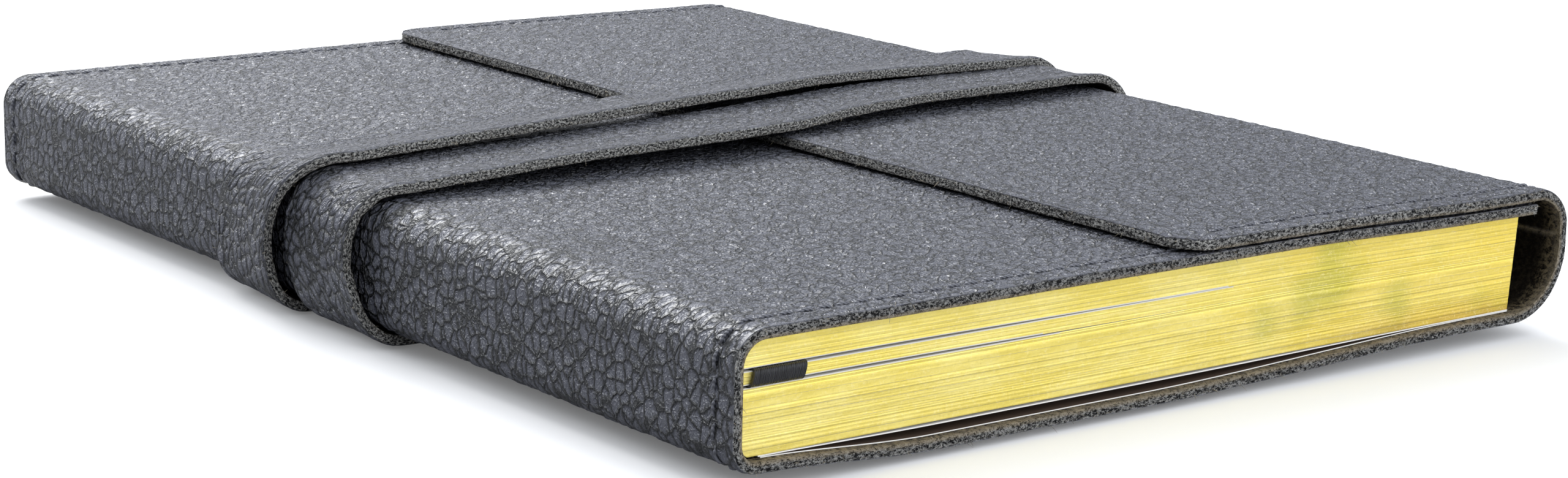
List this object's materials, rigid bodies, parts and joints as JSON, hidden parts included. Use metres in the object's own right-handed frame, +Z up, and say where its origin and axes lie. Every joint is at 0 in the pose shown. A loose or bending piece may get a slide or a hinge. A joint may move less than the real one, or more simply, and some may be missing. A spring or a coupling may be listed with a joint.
{
  "type": "prayer book",
  "caption": "Limp leather-bound book with gilt page edges, a wrap-round flap over the front cover, a double-wound strap and a black ribbon bookmark.",
  "frame": {"origin": "centre of the book's footprint on the table, at the underside of the strap that the closed book rests on", "axes": "+X from the spine to the fore-edge, +Y from the tail to the head, +Z up out of the front cover"},
  "size_m": [0.1636, 0.216, 0.0251],
  "materials": {
    "leather": "pebbled, satin",
    "thread": "waxed thread",
    "endpaper": "matt uncoated",
    "gilt_paper": "thin leaves with burnished gilt edges",
    "lining": "open cotton weave",
    "cord": "twisted linen",
    "ribbon": "woven satin"
  },
  "bodies": {
    "book": {"spine_cover": "leather", "spine_stitching": "thread", "back_cover": "leather", "back_cover_stitching": "thread", "back_pastedown": "endpaper", "back_flyleaf": "endpaper", "spine_lining": "lining", "sewing_cords": "cord", "signature_05": "gilt_paper", "signature_06": "gilt_paper", "signature_07": "gilt_paper", "signature_08": "gilt_paper", "signature_09": "gilt_paper", "signature_10": "gilt_paper", "signature_11": "gilt_paper", "signature_12": "gilt_paper", "signature_13": "gilt_paper", "signature_14": "gilt_paper", "signature_15": "gilt_paper", "signature_16": "gilt_paper"},
    "cover": {"front_cover": "leather", "front_cover_stitching": "thread", "front_pastedown": "endpaper"},
    "front_leaves": {"front_flyleaf": "endpaper", "signature_01": "gilt_paper", "signature_02": "gilt_paper", "signature_03": "gilt_paper", "signature_04": "gilt_paper"},
    "fore_edge": {"fore_edge_wall": "leather", "fore_edge_stitching": "thread"},
    "wrap_flap": {"flap": "leather", "flap_stitching": "thread"},
    "wrap_strap": {"strap": "leather"},
    "bookmark": {"ribbon_bookmark": "ribbon"}
  },
  "joints": [
    {"name": "cover_open", "type": "hinge", "parent": "book", "child": "cover", "pos_m": [-0.07845, 0, 0.0199], "axis": [0, -1, 0], "range_deg": [0, 175]},
    {"name": "leaves_turn", "type": "hinge", "parent": "book", "child": "front_leaves", "pos_m": [-0.07845, 0, 0.0199], "axis": [0, -1, 0], "range_deg": [0, 170]},
    {"name": "fore_edge_fold", "type": "hinge", "parent": "book", "child": "fore_edge", "pos_m": [0.07669, 0, 0.00516], "axis": [0, 1, 0], "range_deg": [0, 92]},
    {"name": "flap_fold", "type": "hinge", "parent": "fore_edge", "child": "wrap_flap", "pos_m": [0.07801, 0, 0.02131], "axis": [0, 1, 0], "range_deg": [0, 92], "deforming": ["flap", "flap_stitching"]},
    {"name": "strap_slip", "type": "slide", "parent": "book", "child": "wrap_strap", "axis": [0, 1, 0], "range_m": [0, 0.25], "deforming": ["strap"]},
    {"name": "ribbon_draw", "type": "slide", "parent": "book", "child": "bookmark", "axis": [0, -1, 0], "range_m": [0, 0.035]}
  ],
  "couplings": [
    {"joint": "leaves_turn", "follows": "cover_open", "ratio": 0.94},
    {"joint": "fore_edge_fold", "follows": "cover_open", "ratio": 0.51429},
    {"joint": "flap_fold", "follows": "cover_open", "ratio": 0.51429},
    {"joint": "strap_slip", "follows": "cover_open", "m_per_rad": 0.078577}
  ]
}
